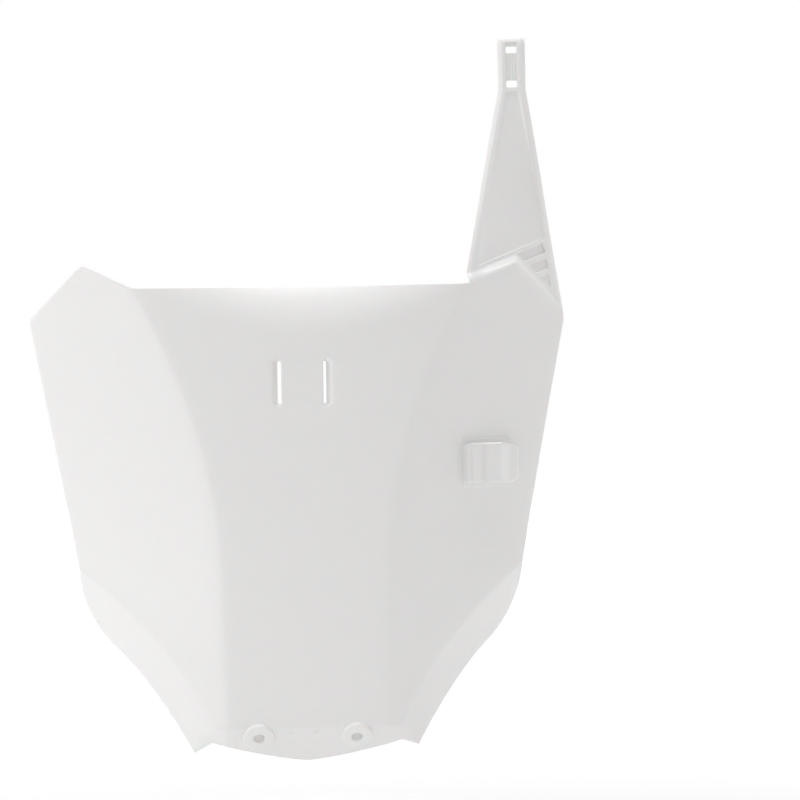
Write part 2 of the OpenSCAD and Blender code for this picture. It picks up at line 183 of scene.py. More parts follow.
bpy.ops.object.camera_add()
camera = bpy.context.object
camera.name = "camera"
away = Vector((
    math.sin(CAMERA_TURN) * math.cos(CAMERA_RISE),
    -math.cos(CAMERA_TURN) * math.cos(CAMERA_RISE),
    math.sin(CAMERA_RISE),
))
camera.location = CAMERA_TARGET + away * CAMERA_DISTANCE
camera.rotation_euler = (math.pi / 2 - CAMERA_RISE, CAMERA_TILT, CAMERA_TURN)
camera.data.sensor_width = SENSOR_WIDTH
camera.data.lens = SENSOR_WIDTH * CAMERA_DISTANCE / FRAME_WIDTH
camera.data.clip_end = FARTHEST_SEEN
bpy.context.scene.camera = camera
print(f"camera with a {camera.data.lens:.0f} mm lens")

# %% [markdown]
# A material is a network of nodes. Four helpers serve every material here: one turns a colour
# as a designer writes it into the linear numbers that light works in, one adds a node with
# its settings and links, one starts an empty material, and one tells what the camera sees.
# %% Colours and nodes
def linear(hex_colour):
    """An sRGB hex colour as the linear RGBA that a shader socket takes."""
    channels = [int(hex_colour[i:i + 2], 16) / 255 for i in (1, 3, 5)]
    return [c / 12.92 if c <= 0.04045 else ((c + 0.055) / 1.055) ** 2.4 for c in channels] + [1.0]


def add_node(tree, kind, settings=None, links=None):
    """Adds one node, sets its sockets and properties, and links its inputs."""
    node = tree.nodes.new(kind)
    for key, value in (settings or {}).items():
        if isinstance(key, int) or key in node.inputs:
            node.inputs[key].default_value = value
        else:
            setattr(node, key, value)
    for key, source in (links or {}).items():
        tree.links.new(source, node.inputs[key])
    return node


def new_material(name):
    """An empty material and its network of nodes."""
    material = bpy.data.materials.new(name)
    material.use_nodes = True
    material.node_tree.nodes.clear()
    return material, material.node_tree


def seen_directly(tree):
    """One for rays that the camera sees, also through a reflection or clear glass, else none."""
    rays = add_node(tree, "ShaderNodeLightPath")
    seen = add_node(
        tree, "ShaderNodeMath", {"operation": "MAXIMUM"},
        {0: rays.outputs["Is Camera Ray"], 1: rays.outputs["Is Glossy Ray"]},
    )
    return add_node(
        tree, "ShaderNodeMath", {"operation": "MAXIMUM"},
        {0: seen.outputs[0], 1: rays.outputs["Is Transmission Ray"]},
    )


print(f"mid grey is {linear('#808080')[0]:.3f} in linear light")

# %% [markdown]
# The board is shown in front of plain white. A large pale floor under it catches its soft
# shadow. Further off, less of the lamps' light reaches the floor, so it glows a little there
# as the camera sees it, also in a reflection, but the glow adds no soft light to the board.
# %% The floor
FLOOR_GAP = 0.030
FLOOR_Z = CAD_LOW.z - FLOOR_GAP
FLOOR_SIZE = 12.0
FLOOR_LIFT = 0.62
LIFT_STARTS = 0.2
LIFT_FULL = 1.8


def pale_floor():
    """Matte white paper: it takes the shadow, and the camera sees the rest of it as white."""
    material, tree = new_material("white_paper_floor")
    paper = add_node(tree, "ShaderNodeBsdfDiffuse", {"Color": linear("#fafafa")})
    place = add_node(tree, "ShaderNodeTexCoord").outputs["Object"]
    off_middle = add_node(tree, "ShaderNodeVectorMath", {"operation": "LENGTH"}, {0: place})
    # Near the object the lamps make the floor white, so only its shadow is darker there
    share = add_node(
        tree, "ShaderNodeMapRange",
        {"From Min": LIFT_STARTS, "From Max": LIFT_FULL, "To Min": 0.0, "To Max": FLOOR_LIFT},
        {"Value": off_middle.outputs["Value"]},
    )
    lift = add_node(
        tree, "ShaderNodeMath", {"operation": "MULTIPLY"},
        {0: seen_directly(tree).outputs[0], 1: share.outputs[0]},
    )
    white = add_node(
        tree, "ShaderNodeEmission", {"Color": linear("#ffffff")}, {"Strength": lift.outputs[0]},
    )
    both = add_node(tree, "ShaderNodeAddShader", links={0: paper.outputs[0], 1: white.outputs[0]})
    add_node(tree, "ShaderNodeOutputMaterial", links={"Surface": both.outputs[0]})
    return material


bpy.ops.mesh.primitive_plane_add(size=FLOOR_SIZE, location=(0, 0, FLOOR_Z))
floor = bpy.context.object
floor.name = "floor"
floor.data.materials.append(pale_floor())
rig.stage(floor)
print(f"floor {FLOOR_GAP / MM:.0f} mm below the board")

# %% [markdown]
# The world is the white room around the board. The camera sees it as pure white, also in the
# plastic's reflections, and it lights the board with about half of that, so that the
# background stays white while the lamps shape the plastic.
# %% The world
ROOM_LEVEL = 0.53

world = bpy.data.worlds.new("white_room")
bpy.context.scene.world = world
world.use_nodes = True
world.node_tree.nodes.clear()
level = add_node(
    world.node_tree, "ShaderNodeMix", {"data_type": "FLOAT", 2: ROOM_LEVEL, 3: 1.0},
    {0: seen_directly(world.node_tree).outputs[0]},
)
room = add_node(
    world.node_tree, "ShaderNodeBackground", {"Color": linear("#ffffff")},
    {"Strength": level.outputs[0]},
)
add_node(world.node_tree, "ShaderNodeOutputWorld", links={"Surface": room.outputs[0]})
print(f"a white room that lights the board at {ROOM_LEVEL:.0%}")

# %% [markdown]
# Large soft boxes give white plastic its gentle greys. Two on the left make that wing the
# lightest, one overhead brightens the rolled top edge and the step, and a weak low one on the
# right keeps the far lip from going dull. Their power stays low enough that the faces don't
# clip to pure white.
# %% The lamps
MIDDLE = ((CAD_LOW + CAD_HIGH) / 2).to_tuple()
# Name, place and side of each soft box in metres, and its power in watts
SOFT_BOXES = (
    ("key_left", (-1.5, -0.55, 0.35), 0.9, 3.7),
    ("side_left", (-1.5, 0.0, 0.35), 0.9, 3.0),
    ("overhead", (0.05, 0.0, 1.6), 1.0, 13.0),
    ("low_right", (0.9, 0.25, 0.02), 0.5, 0.7),
)


def soft_box(name, place, aim, size, power):
    """A square soft box at a place, turned to face a point, both in metres."""
    bpy.ops.object.light_add(type="AREA", location=place)
    lamp = bpy.context.object
    lamp.name = name
    lamp.data.shape = "SQUARE"
    lamp.data.size = size
    lamp.data.energy = power
    lamp.rotation_euler = (Vector(aim) - Vector(place)).to_track_quat("-Z", "Y").to_euler()


for name, place, size, power in SOFT_BOXES:
    soft_box(name, place, MIDDLE, size, power)
print(f"{len(SOFT_BOXES)} soft boxes")

# %% [markdown]
# The outline has a few named points, seen from the front in millimetres from the middle of
# the two screw holes. The straight top edge ends in a notch on each side, rises to a peak
# and falls to the widest point. From there the edge runs in to the start of the lip.
# %% The outline and the creases
TOP_H = 210.8
NOTCH = (79.2, TOP_H)
PEAK = (102.2, TOP_H + 9.3)
SHOULDER = (127.2, TOP_H - 15.6)
LIP_START = (105.0, 78.5)
BEND_Z = 4.2
MITRE_X = 44.6
TIP_DROP = 11.8
CREASE_LOW_X = 38.0
CREASE_LEAN = 0.02
SWEEP_START_Z = 79.0
SWEEP_POWER = 1.9
LIP_LEAN = 0.37
LIP_H = LIP_START[1] - BEND_Z
LIP_CURVE = (LIP_START[0] - MITRE_X - LIP_LEAN * LIP_H) / LIP_H ** 2
# The lip's free edge is two curves that meet halfway, each drawn towards one of the pulls
LIP_PULL_HIGH = (LIP_START[0] - 0.9, LIP_START[1] - 23.0)
LIP_CORNER = (MITRE_X + 8.3, BEND_Z - 9.9)
LIP_PULL_LOW = (LIP_CORNER[0] + 19.1, LIP_CORNER[1] + 32.0)
JUNCTION = (MITRE_X, BEND_Z - 7.0)
TIP_POWER = 1.35


def crease_x(z):
    """Where the wing crease lies at a height."""
    sweep = NOTCH[0] - CREASE_LOW_X - CREASE_LEAN * (TOP_H - BEND_Z)
    rise = max(0.0, z - SWEEP_START_Z) / (TOP_H - SWEEP_START_Z)
    return CREASE_LOW_X + CREASE_LEAN * (z - BEND_Z) + sweep * rise ** SWEEP_POWER


def lip_x(z):
    """Where the lip crease lies at a height."""
    return MITRE_X + LIP_LEAN * (z - BEND_Z) + LIP_CURVE * (z - BEND_Z) ** 2


def pull(a, b, c, t):
    """A point of the curve from a to c that is drawn towards b."""
    return lerp2(lerp2(a, b, t), lerp2(b, c, t), t)


def side_edge(t):
    """The free edge of the side lip, from its start to its lower corner."""
    middle = lerp2(LIP_PULL_HIGH, LIP_PULL_LOW, 0.5)
    if t < 0.5:
        return pull(LIP_START, LIP_PULL_HIGH, middle, 2 * t)
    return pull(middle, LIP_PULL_LOW, LIP_CORNER, 2 * t - 1)


def bottom_edge(x):
    """The free edge of the bottom lip, below a point of the bottom bend."""
    e = x * JUNCTION[0] / MITRE_X
    return (e, lerp(-TIP_DROP, JUNCTION[1], (abs(e) / JUNCTION[0]) ** TIP_POWER))


print(f"wing crease from {crease_x(BEND_Z):.1f} to {crease_x(TOP_H):.1f} mm off the middle")

# %% [markdown]
# How deep each point lies follows from how the face was drawn: it bows gently sideways, turns
# back at the wing creases, rolls back along the top edge, and turns back again at the lip.
# Each turn is a ramp with a soft start, as the rounded corner of a mould is.
# %% The depth of the face
BOW_R = 600.0
WING_SLOPE = 0.5
WING_CREASE_R = 2.2
ROLL_H = 24.0
ROLL_R = 32.0
LIP_SLOPE = math.tan(math.radians(41))
SIDE_LIP_SLOPE = 0.775
LIP_CREASE_R = 1.3
SCREW_PITCH = 45.8
SLOT_PITCH = 23.4
SLOT_Z = 165.4
SLOT_L = 22.0
SLOT_W = 3.8
SEAT_DEPTH = 0.5
SEAT_SOFT = 3.5
SEAT_HALF_W = (SLOT_PITCH - SLOT_W) / 2 + 3.0
SEAT_HALF_L = SLOT_L / 2 + 2.5
CORNER_BAND = 3.0
CORNER_R = 4.5
CORNER_START = 2.0
CORNER_LOW = 1.0
CORNER_FADE = 8.0
NO_LIMIT = math.inf
# The middle of the face lies so far forward that the lip passes through the screw holes at 0
FACE_Y = -BEND_Z * LIP_SLOPE - (SCREW_PITCH / 2) ** 2 / (2 * BOW_R)


def ramp(d, r):
    """Zero before the crease, rising after it, with a rounding of about r."""
    return (d + math.sqrt(d * d + r * r)) / 2


def roll(x, z):
    """How far the top edge has rolled back, in a band that is tallest in the middle."""
    start = TOP_H - ROLL_H * (1 - (x / NOTCH[0]) ** 2)
    return max(0.0, z - start) ** 2 / (2 * ROLL_R)


def strap_seat(x, z):
    """The face is a little lower between the strap slots, and runs out softly."""
    across = smooth((SEAT_HALF_W - abs(x)) / SEAT_SOFT)
    along = smooth((SEAT_HALF_L - abs(z - SLOT_Z)) / SEAT_SOFT)
    return SEAT_DEPTH * across * along


def past_line(a, b, x, z):
    """How far a point lies inside the line from a to b, which runs clockwise."""
    length = math.dist(a, b)
    return ((x - a[0]) * (a[1] - b[1]) + (z - a[1]) * (b[0] - a[0])) / -length


def corner_roll(x, z):
    """Below the arm, the corner starts to round over before its edge."""
    inside = min(past_line(NOTCH, PEAK, x, z), past_line(PEAK, SHOULDER, x, z))
    fade_in = smooth((x - NOTCH[0] + CORNER_START) / CORNER_FADE)
    fade_out = smooth((z - SHOULDER[1] + CORNER_LOW) / CORNER_FADE)
    fade = fade_in * fade_out
    return fade * max(0.0, CORNER_BAND - inside) ** 2 / (2 * CORNER_R)


def face_y(x, z):
    """Depth of the face at a point seen from the front, before the lips turn back."""
    bow = x * x / (2 * BOW_R)
    wing = WING_SLOPE * ramp(abs(x) - crease_x(z), WING_CREASE_R)
    extra = corner_roll(x, z) if x > NOTCH[0] - CORNER_START else 0.0
    return FACE_Y + bow + wing + roll(x, z) + strap_seat(x, z) + extra


def side_turn(x, z, limit=NO_LIMIT):
    """How far the side lip has turned back; with a limit of 0 only the crease's rounding."""
    return SIDE_LIP_SLOPE * ramp(min(abs(x) - lip_x(z), limit), LIP_CREASE_R)


def bottom_turn(z, limit=NO_LIMIT):
    """The same for the bottom lip."""
    return LIP_SLOPE * ramp(min(BEND_Z - z, limit), LIP_CREASE_R)


def face_point(x, z):
    """A point of the face inside the lip creases."""
    return (x, face_y(x, z) + side_turn(x, z, 0) + bottom_turn(z, 0), z)


print(f"the wings reach {face_y(*SHOULDER) - FACE_Y:.1f} mm back")

# %% [markdown]
# The face starts as one flat grid. Its rows run from wing to wing and its columns follow the
# creases, closer together beside them, so that each crease is an edge of the mesh and the
# surface between stays smooth. The outline isn't quite the same on both sides: the left wing
# ends a little higher, by LEFT_RISE.
# %% The face
ACROSS = 128
ALONG = 140
ROW_SHOULDER = 28
ROW_LIP = 88
ROW_FAN = 134
FAN_RISE = 1.5
CLUSTER = 1.5
LIP_ROW_POWER = 1.3
PEAK_R = 2.0
LEFT_RISE = 2.1
SHOULDER_R = 3.0


def along_edge(a, b, t, round_a=0.0, round_b=0.0, before=None, after=None):
    """A point from a to b, bent to meet the edges before and after in rounded corners."""
    length = math.dist(a, b)
    if round_a and t * length < round_a:
        start = lerp2(a, before, round_a / math.dist(a, before))
        return pull(start, a, lerp2(a, b, round_a / length), 0.5 + t * length / (2 * round_a))
    if round_b and (1 - t) * length < round_b:
        end = lerp2(b, after, round_b / math.dist(b, after))
        return pull(lerp2(b, a, round_b / length), b, end, 0.5 - (1 - t) * length / (2 * round_b))
    return lerp2(a, b, t)


def row(index):
    """Height of a row at the crease, and where the row ends at the outline."""
    if index <= ROW_SHOULDER:
        t = index / ROW_SHOULDER
        end = along_edge(PEAK, SHOULDER, t, PEAK_R, SHOULDER_R, NOTCH, LIP_START)
        return TOP_H - ROLL_H * t, end
    if index <= ROW_LIP:
        t = (index - ROW_SHOULDER) / (ROW_LIP - ROW_SHOULDER)
        end = along_edge(SHOULDER, LIP_START, t, SHOULDER_R, 0.0, PEAK)
        return lerp(TOP_H - ROLL_H, LIP_START[1], t), end
    if index <= ROW_FAN:
        t = (index - ROW_LIP) / (ROW_FAN - ROW_LIP)
        z = lerp(LIP_START[1], BEND_Z + FAN_RISE, t ** LIP_ROW_POWER)
    else:
        z = lerp(BEND_Z + FAN_RISE, BEND_Z, (index - ROW_FAN) / (ALONG - ROW_FAN))
    return z, (lip_x(z), z)


def face_at(column, index):
    """The point of the face at a column, from the left, and a row, from the top."""
    z, end = row(index)
    crease = (crease_x(z), z)
    s = (column - ACROSS / 2) / (ACROSS / 2)
    if abs(s) <= 0.5:
        x = crease[0] * (1 - (1 - 2 * abs(s)) ** CLUSTER)
        return face_point(math.copysign(x, s), z)
    share = (2 * abs(s) - 1) ** CLUSTER
    if index == 0:
        x, z = along_edge(NOTCH, PEAK, share, 0.0, PEAK_R, None, SHOULDER)
    else:
        x, z = lerp2(crease, end, share)
    if s < 0:
        z += LEFT_RISE * share * smooth(1 - index / ROW_LIP)
    return face_point(math.copysign(x, s), z)


backs = {}


def shaped_grid(name, columns, rows, point, back=None):
    """Adds a flat grid and moves each of its points to point(column, row), in millimetres.

    Where back(column, row) is given, it is kept as the point behind it on the inner side.
    """
    bpy.ops.object.select_all(action="DESELECT")
    bpy.ops.mesh.primitive_grid_add(x_subdivisions=columns, y_subdivisions=rows, size=1)
    sheet = bpy.context.object
    sheet.name = name
    for vertex in sheet.data.vertices:
        column = round((vertex.co.x + 0.5) * columns)
        index = round((0.5 - vertex.co.y) * rows)
        vertex.co = Vector(point(column, index)) * MM
        behind = back(column, index) if back else None
        if behind:
            backs[vertex.co.to_tuple(6)] = Vector(behind) * MM
    return sheet


board = shaped_grid("board_moulding", ACROSS, ALONG, face_at)
print(f"face of {len(board.data.polygons)} quads")

# %% [markdown]
# The lip is a second strip, whose inner edge is the face's own lower edge point for point:
# down one side, along the bottom bend and up the other side. It narrows to nothing where it
# starts on each side, and a small fan of faces turns it round the mitre at the bottom. Its
# left corner hangs a little lower than its right one, by LEFT_DROP.
# %% The lip
SIDE_ROWS = ALONG - ROW_LIP
LIP_PATH = SIDE_ROWS + ACROSS + SIDE_ROWS
LIP_ROWS = 10
LEFT_DROP = 2.0
LEFT_DROP_POWER = 4
FAN_ROWS = ALONG - ROW_FAN


def lip_base(m):
    """Column and row of the face beside a step of the lip's path."""
    if m <= SIDE_ROWS:
        return ACROSS, ROW_LIP + m
    if m <= SIDE_ROWS + ACROSS:
        return ACROSS - (m - SIDE_ROWS), ALONG
    return 0, ALONG - (m - SIDE_ROWS - ACROSS)


def side_lip_at(step, side, k):
    """A point of a side lip: k runs from the crease to the free edge."""
    base = face_at(ACROSS if side > 0 else 0, ROW_LIP + step)
    edge = side_edge(step / (ROW_FAN - ROW_LIP))
    share = (k / LIP_ROWS) ** CLUSTER
    x, z = lerp2((abs(base[0]), base[2]), edge, share)
    if side < 0:
        z -= LEFT_DROP * share * (step / (ROW_FAN - ROW_LIP)) ** LEFT_DROP_POWER
    return (side * x, face_y(x, z) + side_turn(x, z) + bottom_turn(z, 0), z)


def bottom_lip_at(column, k):
    """The same for the bottom lip."""
    base = face_at(column, ALONG)
    share = (k / LIP_ROWS) ** CLUSTER
    x, z = lerp2((base[0], base[2]), bottom_edge(base[0]), share)
    return (x, face_y(x, z) + side_turn(x, z, 0) + bottom_turn(z), z)


def lip_at(m, k):
    """A point of the whole lip: m runs along its path and k out to the free edge."""
    column, index = lip_base(m)
    if k == 0:
        return face_at(column, index)
    step = min(m, LIP_PATH - m)
    if step >= SIDE_ROWS:
        return bottom_lip_at(column, k)
    side = 1 if m < SIDE_ROWS else -1
    fan_start = SIDE_ROWS - FAN_ROWS
    if step <= fan_start:
        return side_lip_at(step, side, k)
    last = Vector(side_lip_at(fan_start, side, k))
    first = Vector(bottom_lip_at(ACROSS if side > 0 else 0, k))
    return last.lerp(first, (step - fan_start) / FAN_ROWS)


lip = shaped_grid("lip", LIP_PATH, LIP_ROWS, lip_at)
print(f"lip of {len(lip.data.polygons)} quads")

# %% [markdown]
# Behind the top corner on one side, the surface rounds over the edge of the wing, steps back
# and turns up again into the fixing arm. The step is a strip between the wing's edge and the
# arm's foot, and each line across it is a soft S.
# %% The step behind the corner
ARM_LEFT = (NOTCH[0] - 1.1, NOTCH[1] + 5.1)
ARM_APEX = (PEAK[0] + 0.6, PEAK[1] + 4.5)
ARM_RIGHT = (SHOULDER[0] - 1.1, SHOULDER[1] + 3.9)
ARM_X = 102.8
ARM_END_W = 13.2
ARM_END_L = 24.7
ARM_TOP_Z = TOP_H + 116.0
NECK_Z = ARM_TOP_Z - ARM_END_L
ARM_BEVEL = 2.2
ARM_BEVEL_DEPTH = 1.44
ARM_BACK = 7.0
ARM_SLOPE_LOW = 0.72
ARM_SLOPE_HIGH = 0.1
ARM_LEAN = 0.06
STEP_ROWS = 10
LEG = ROW_SHOULDER
BEVEL_COLUMNS = 4


def arm_y(x, z):
    """Depth of the arm's face, which turns from the wing's slope to nearly flat."""
    up = smooth((z - ARM_APEX[1]) / (NECK_Z - ARM_APEX[1]))
    slope = lerp(ARM_SLOPE_LOW, ARM_SLOPE_HIGH, up)
    return face_y(*PEAK) + ARM_BACK + ARM_LEAN * (z - PEAK[1]) + slope * (x - ARM_X)


def arm_column(start, end, index):
    """A point along half of the arm's width, with the bevel's columns at its edge."""
    length = math.dist(start, end)
    bevel = ARM_BEVEL / length
    if index <= BEVEL_COLUMNS:
        return lerp2(start, end, bevel * index / BEVEL_COLUMNS)
    t = (index - BEVEL_COLUMNS) / (LEG - BEVEL_COLUMNS)
    return lerp2(start, end, lerp(bevel, 1, t))


def bevel_drop(column):
    """How far the bevel has taken the arm's face back at a column."""
    edge = min(column, 2 * LEG - column)
    return ARM_BEVEL_DEPTH * max(0.0, 1 - edge / BEVEL_COLUMNS)


def arm_foot(column):
    """The arm's lower end, which follows the corner at a small distance."""
    if column <= LEG:
        x, z = arm_column(ARM_LEFT, ARM_APEX, column)
    else:
        x, z = arm_column(ARM_RIGHT, ARM_APEX, 2 * LEG - column)
    return Vector((x, arm_y(x, z) + bevel_drop(column), z))


ROUND_OVER = 2.4
TURN_UP = 1.6
STEP_SAG = 1.0
WALL = 2.2
ARM_T = 3.2
HALF_MM = 0.5


def corner_edge(column):
    """The wing's edge from the notch over the peak to the widest point."""
    if column <= LEG:
        return face_at(ACROSS - LEG + column, 0)
    return face_at(ACROSS, column - LEG)


def step_at(column, index):
    """A point of the step: index runs from the arm's foot down to the wing's edge."""
    t = 1 - index / STEP_ROWS
    edge = Vector(corner_edge(column))
    foot = arm_foot(column)
    if index == STEP_ROWS:
        return edge
    out = foot - edge
    out.y = 0
    out.normalize()
    slope = face_y(edge.x, edge.z) - face_y(edge.x - out.x, edge.z - out.z)
    rise = Vector((out.x, slope, out.z)).normalized()
    arm_rise = Vector((0, ARM_LEAN, 1)).normalized()
    # A curve that leaves the wing along its slope and meets the arm along the arm's
    over = edge + rise * ROUND_OVER
    under = foot - arm_rise * TURN_UP
    u = 1 - t
    return edge * u ** 3 + over * 3 * u * u * t + under * 3 * u * t * t + foot * t ** 3


def wing_back(point):
    """The point behind a point of the face, one wall thickness away."""
    x, z = point.x, point.z
    run = face_y(x + HALF_MM, z) - face_y(x - HALF_MM, z)
    rise = face_y(x, z + HALF_MM) - face_y(x, z - HALF_MM)
    return point + WALL * Vector((-run, 1, -rise)).normalized()


def step_back(column, index):
    """The inner side of the step, which sags a little so that the wall stays even."""
    if index == STEP_ROWS:
        return None
    t = 1 - index / STEP_ROWS
    edge, foot = Vector(corner_edge(column)), arm_foot(column)
    low = wing_back(edge)
    high = Vector((foot.x, arm_y(foot.x, foot.z) + ARM_T, foot.z))
    chord = high - low
    out = Vector((foot.x - edge.x, 0, foot.z - edge.z)).normalized()
    sag = Vector((-out.x * chord.y, chord.dot(out), -out.z * chord.y)).normalized()
    return low + chord * t + sag * STEP_SAG * 4 * t * (1 - t)


step = shaped_grid("step", 2 * LEG, STEP_ROWS, step_at, step_back)
print(f"step of {len(step.data.polygons)} quads")

# %% [markdown]
# The arm narrows in straight lines from its foot to its neck and ends in a parallel tongue
# with rounded corners. Its face twists from the wing's slope to nearly flat, and a bevel runs
# along both edges and over the tip.
# %% The arm
ARM_ROWS = 60
END_ROWS = 16
TIP_ROWS = 6
TIP_R = 2.4


def arm_at(column, index):
    """A point of the arm, with index 0 at its tip."""
    half = ARM_END_W / 2
    if index < TIP_ROWS:
        # The tongue's corners are quarter circles, seen from the front
        angle = math.pi / 2 * index / TIP_ROWS
        z = ARM_TOP_Z - TIP_R * (1 - math.cos(angle))
        half -= TIP_R * (1 - math.sin(angle))
        tip_drop = ARM_BEVEL_DEPTH * (1 - index / TIP_ROWS)
    else:
        z = lerp(ARM_TOP_Z - TIP_R, NECK_Z, (index - TIP_ROWS) / (END_ROWS - TIP_ROWS))
        tip_drop = 0.0
    if index <= END_ROWS:
        if column <= LEG:
            x, z = arm_column((ARM_X - half, z), (ARM_X, z), column)
        else:
            x, z = arm_column((ARM_X + half, z), (ARM_X, z), 2 * LEG - column)
        return (x, arm_y(x, z) + max(bevel_drop(column), tip_drop), z)
    t = (index - END_ROWS) / (ARM_ROWS - END_ROWS)
    neck = arm_at(column, END_ROWS)
    foot = arm_foot(column)
    if index == ARM_ROWS:
        return foot
    x, z = lerp2((neck[0], neck[2]), (foot.x, foot.z), t)
    return (x, arm_y(x, z) + bevel_drop(column), z)


def arm_back(column, index):
    """The arm's inner side, straight behind its face."""
    x, _, z = arm_at(column, index)
    return (x, arm_y(x, z) + ARM_T, z)


arm = shaped_grid("arm", 2 * LEG, ARM_ROWS, arm_at, arm_back)
print(f"arm of {len(arm.data.polygons)} quads")

# %% [markdown]
# The four sheets are joined and their shared points merged. Only then does the sheet get its
# thickness, because Solidify needs all normals to point the same way. The arm is thicker
# than the face and the step is tightly curved, so their inner points are put where they were
# worked out above. Solidify keeps the outer points first and the inner ones after them, in
# the same order.
# %% One sheet, and its thickness
MERGE = 0.02
START_SOFT = 9.0
MID_FACE = Vector((0, 0, 0.1))


def edit(*steps):
    """Runs edit-mode steps on everything in the active object."""
    bpy.ops.object.mode_set(mode="EDIT")
    bpy.ops.mesh.select_all(action="SELECT")
    for step_call in steps:
        step_call()
    bpy.ops.object.mode_set(mode="OBJECT")


def apply_modifier(obj, kind, **settings):
    """Adds a modifier with these settings and applies it at once."""
    select_only(obj)
    modifier = obj.modifiers.new(kind.lower(), kind)
    for key, value in settings.items():
        setattr(modifier, key, value)
    bpy.ops.object.modifier_apply(modifier=modifier.name)


def taken_back(outer, inner):
    """Where the lip narrows to nothing the wall goes straight back, so it can't cross itself."""
    away = math.dist((abs(outer.x) / MM, outer.z / MM), LIP_START)
    wall = inner - outer
    straight = outer + Vector((0, wall.length_squared / wall.y, 0)) if wall.y > 0 else inner
    return inner.lerp(straight, smooth(2 - away / START_SOFT))


select_only(board, lip, step, arm)
bpy.ops.object.join()
edit(
    lambda: bpy.ops.mesh.remove_doubles(threshold=MERGE * MM),
    lambda: bpy.ops.mesh.normals_make_consistent(inside=False),
)
front_face = min(board.data.polygons, key=lambda p: (p.center - MID_FACE).length)
if front_face.normal.y > 0:
    edit(lambda: bpy.ops.mesh.flip_normals())
outer_count = len(board.data.vertices)
apply_modifier(board, "SOLIDIFY", thickness=WALL * MM, offset=-1, use_even_offset=True)
for outer, inner in zip(board.data.vertices[:outer_count], board.data.vertices[outer_count:]):
    inner.co = backs.get(outer.co.to_tuple(6), taken_back(outer.co, inner.co))
rim_points = {vertex.co.to_tuple(6) for vertex in board.data.vertices}
print(f"moulding of {len(board.data.polygons)} faces")

# %% [markdown]
# Every small feature of a moulding is an outline with rounded corners that changes a little
# from layer to layer: a slot is flared at its mouth, a boss is drawn in at its rim, a pocket
# has sloping walls. So one helper starts from a round disc, extrudes it once per layer, and
# moves each ring into the outline. An outline is drawn as a pin board is strung: a band round
# a few pins of the same radius.
# %% Outlines strung round pins
PIN_SIDES = 40
FINE_MERGE = 0.002
QUAD_SIDES = 4


def inset(points, r):
    """Pins for a convex outline, given clockwise: each corner moved in by r from both edges."""
    pins = []
    for i, point in enumerate(points):
        before, after = points[i - 1], points[(i + 1) % len(points)]
        a = Vector((point[0] - before[0], point[1] - before[1])).normalized()
        b = Vector((after[0] - point[0], after[1] - point[1])).normalized()
        a, b = Vector((a.y, -a.x)), Vector((b.y, -b.x))
        pins.append(tuple(Vector(point) + (a + b) * r / (1 + a.dot(b))))
    return pins


def strung(name, pins, radius, layers, place):
    """A closed form from layers of (height, growth, sideways shift), back layer first."""
    bpy.ops.object.select_all(action="DESELECT")
    bpy.ops.mesh.primitive_circle_add(vertices=PIN_SIDES, radius=1, fill_type="NGON")
    form = bpy.context.object
    form.name = name
    bpy.ops.object.mode_set(mode="EDIT")
    bpy.ops.mesh.select_all(action="SELECT")
    for _ in layers[1:]:
        bpy.ops.mesh.extrude_region_move(TRANSFORM_OT_translate={"value": (0, 0, 1)})
    bpy.ops.object.mode_set(mode="OBJECT")
    for vertex in form.data.vertices:
        height, growth, shift = layers[round(vertex.co.z)]
        angle = math.atan2(vertex.co.y, vertex.co.x)
        way = Vector((math.cos(angle), math.sin(angle)))
        pin = max(pins, key=lambda p: way.x * p[0] + way.y * p[1])
        spot = Vector(pin) + way * (radius + growth)
        vertex.co = Vector(place(spot.x + shift, spot.y, height)) * MM
    edit(lambda: bpy.ops.mesh.normals_make_consistent(inside=False))
    return form


def combine(obj, forms, operation):
    """Joins the forms, which don't touch each other, and adds them to the board or cuts them."""
    select_only(*forms)
    if len(forms) > 1:
        bpy.ops.object.join()
    apply_modifier(obj, "BOOLEAN", operation=operation, solver="EXACT", object=forms[0])
    bpy.data.objects.remove(forms[0])
    # Many-sided faces on a curved wall aren't flat, so they become triangles before the next step
    edit(
        lambda: bpy.ops.mesh.remove_doubles(threshold=FINE_MERGE * MM),
        lambda: bpy.ops.mesh.select_all(action="DESELECT"),
        lambda: bpy.ops.mesh.select_mode(type="FACE"),
        lambda: bpy.ops.mesh.select_face_by_sides(number=QUAD_SIDES, type="GREATER"),
        lambda: bpy.ops.mesh.quads_convert_to_tris(),
    )
    print(f"{operation.lower()}: {len(obj.data.polygons)} faces")


print(f"outlines with {PIN_SIDES} points each")

# %% [markdown]
# The bosses stand on the sloping bottom lip, their upper rims rise a little above the bend,
# and each has a collar behind it for its screw. The guide's pad lies flat on the wing. All
# are drawn in at their rims, so that they catch a thin line of light, as a moulded edge does.
# %% Bosses and the guide's pad
LIP_UP = Vector((0, -LIP_SLOPE, 1)).normalized()
LIP_OUT = Vector((1, 0, 0)).cross(LIP_UP)
BOSS_R = 7.5
BOSS_H = 0.9
BOSS_BACK = 2.0
COLLAR_R = 4.4
COLLAR_L = 5.4
GUIDE_X = 87.6
GUIDE_Z = 126.4
PROBE = 0.01
PAD_H = 24.0
PAD_R = 1.4
PAD_RISE = 0.66


def at_screw(side):
    """Places a point at a screw hole: sideways, up the lip and out from it."""
    return lambda a, b, c: Vector((side * SCREW_PITCH / 2 + a, 0, 0)) + LIP_UP * b + LIP_OUT * c


